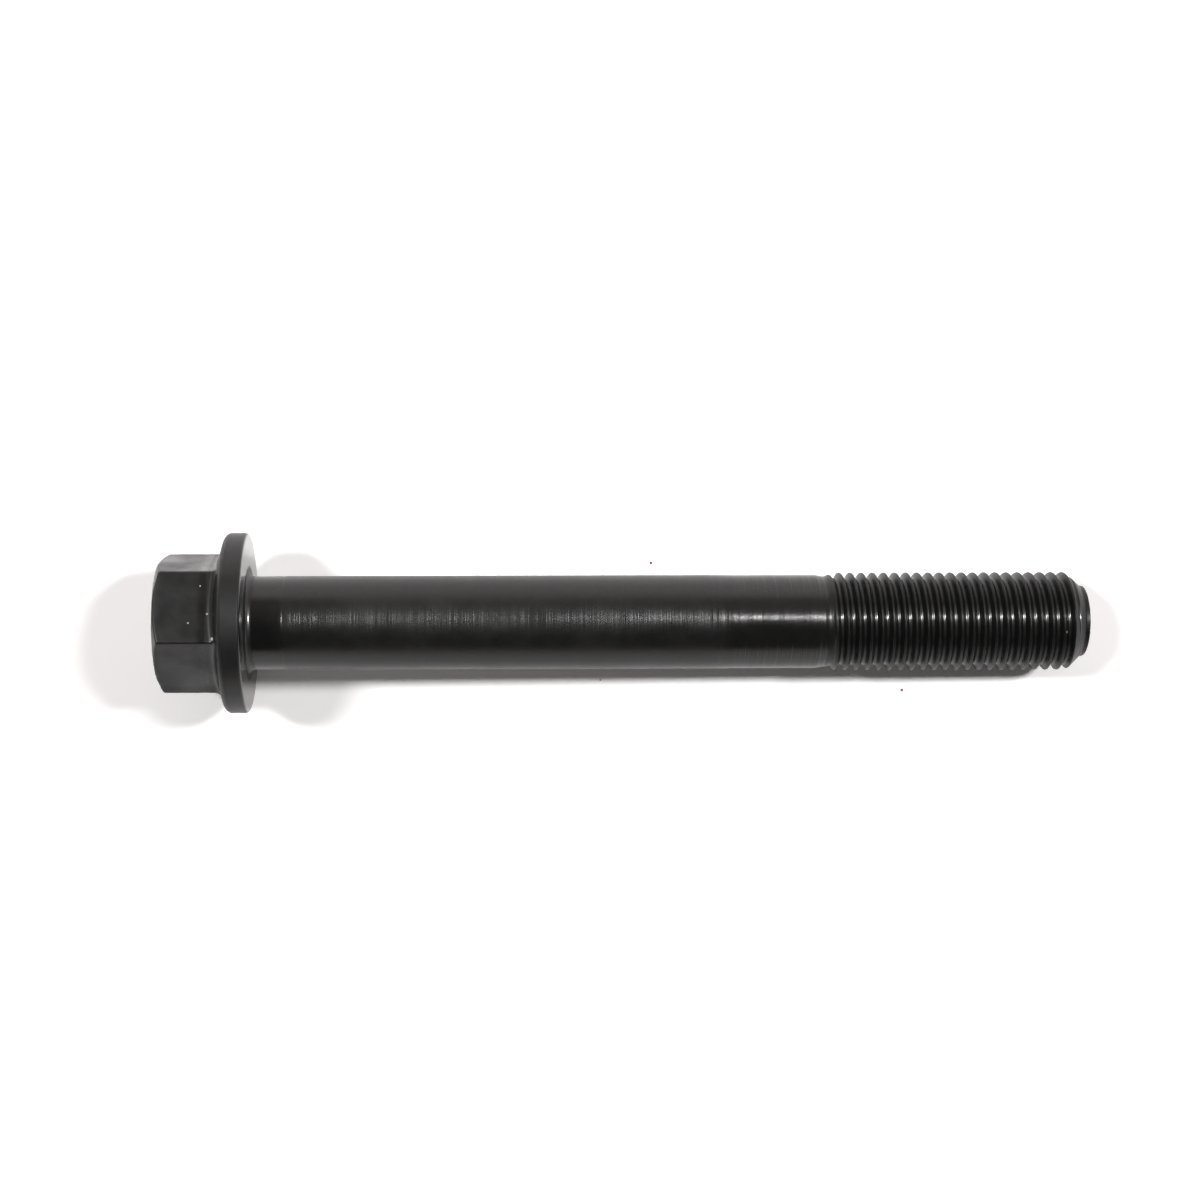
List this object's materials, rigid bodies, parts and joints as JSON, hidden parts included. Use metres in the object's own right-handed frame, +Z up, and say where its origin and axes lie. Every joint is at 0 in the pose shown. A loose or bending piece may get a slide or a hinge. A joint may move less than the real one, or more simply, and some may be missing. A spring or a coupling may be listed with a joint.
{
  "type": "flanged hex bolt",
  "caption": "Flanged hex bolt with a plain shank, a rolled right-hand thread on its end and a short chamfered point, for clamping a thick part down to a tapped hole.",
  "frame": {"origin": "centre of the bearing face, the flat underside of the flange, on the bolt's axis", "axes": "+X along the axis from the head towards the threaded end; +Z up, 15 degrees from the normal of the hexagon's uppermost flat; +Y completes the right-handed frame"},
  "size_m": [0.1034, 0.0202, 0.0202],
  "materials": {
    "head_black_oxide": "matt black oxide on forged steel, a little dusty",
    "flange_black_oxide": "satin black oxide on turned steel",
    "shank_black_oxide": "oiled, semi-gloss black oxide on drawn steel",
    "thread_black_oxide": "oiled, semi-gloss black oxide on rolled thread",
    "point_black_oxide": "satin black oxide on cropped and rolled end"
  },
  "bodies": {
    "root": {"hex_head": "head_black_oxide", "flange": "flange_black_oxide", "shank": "shank_black_oxide", "thread": "thread_black_oxide", "point": "point_black_oxide"}
  },
  "joints": []
}
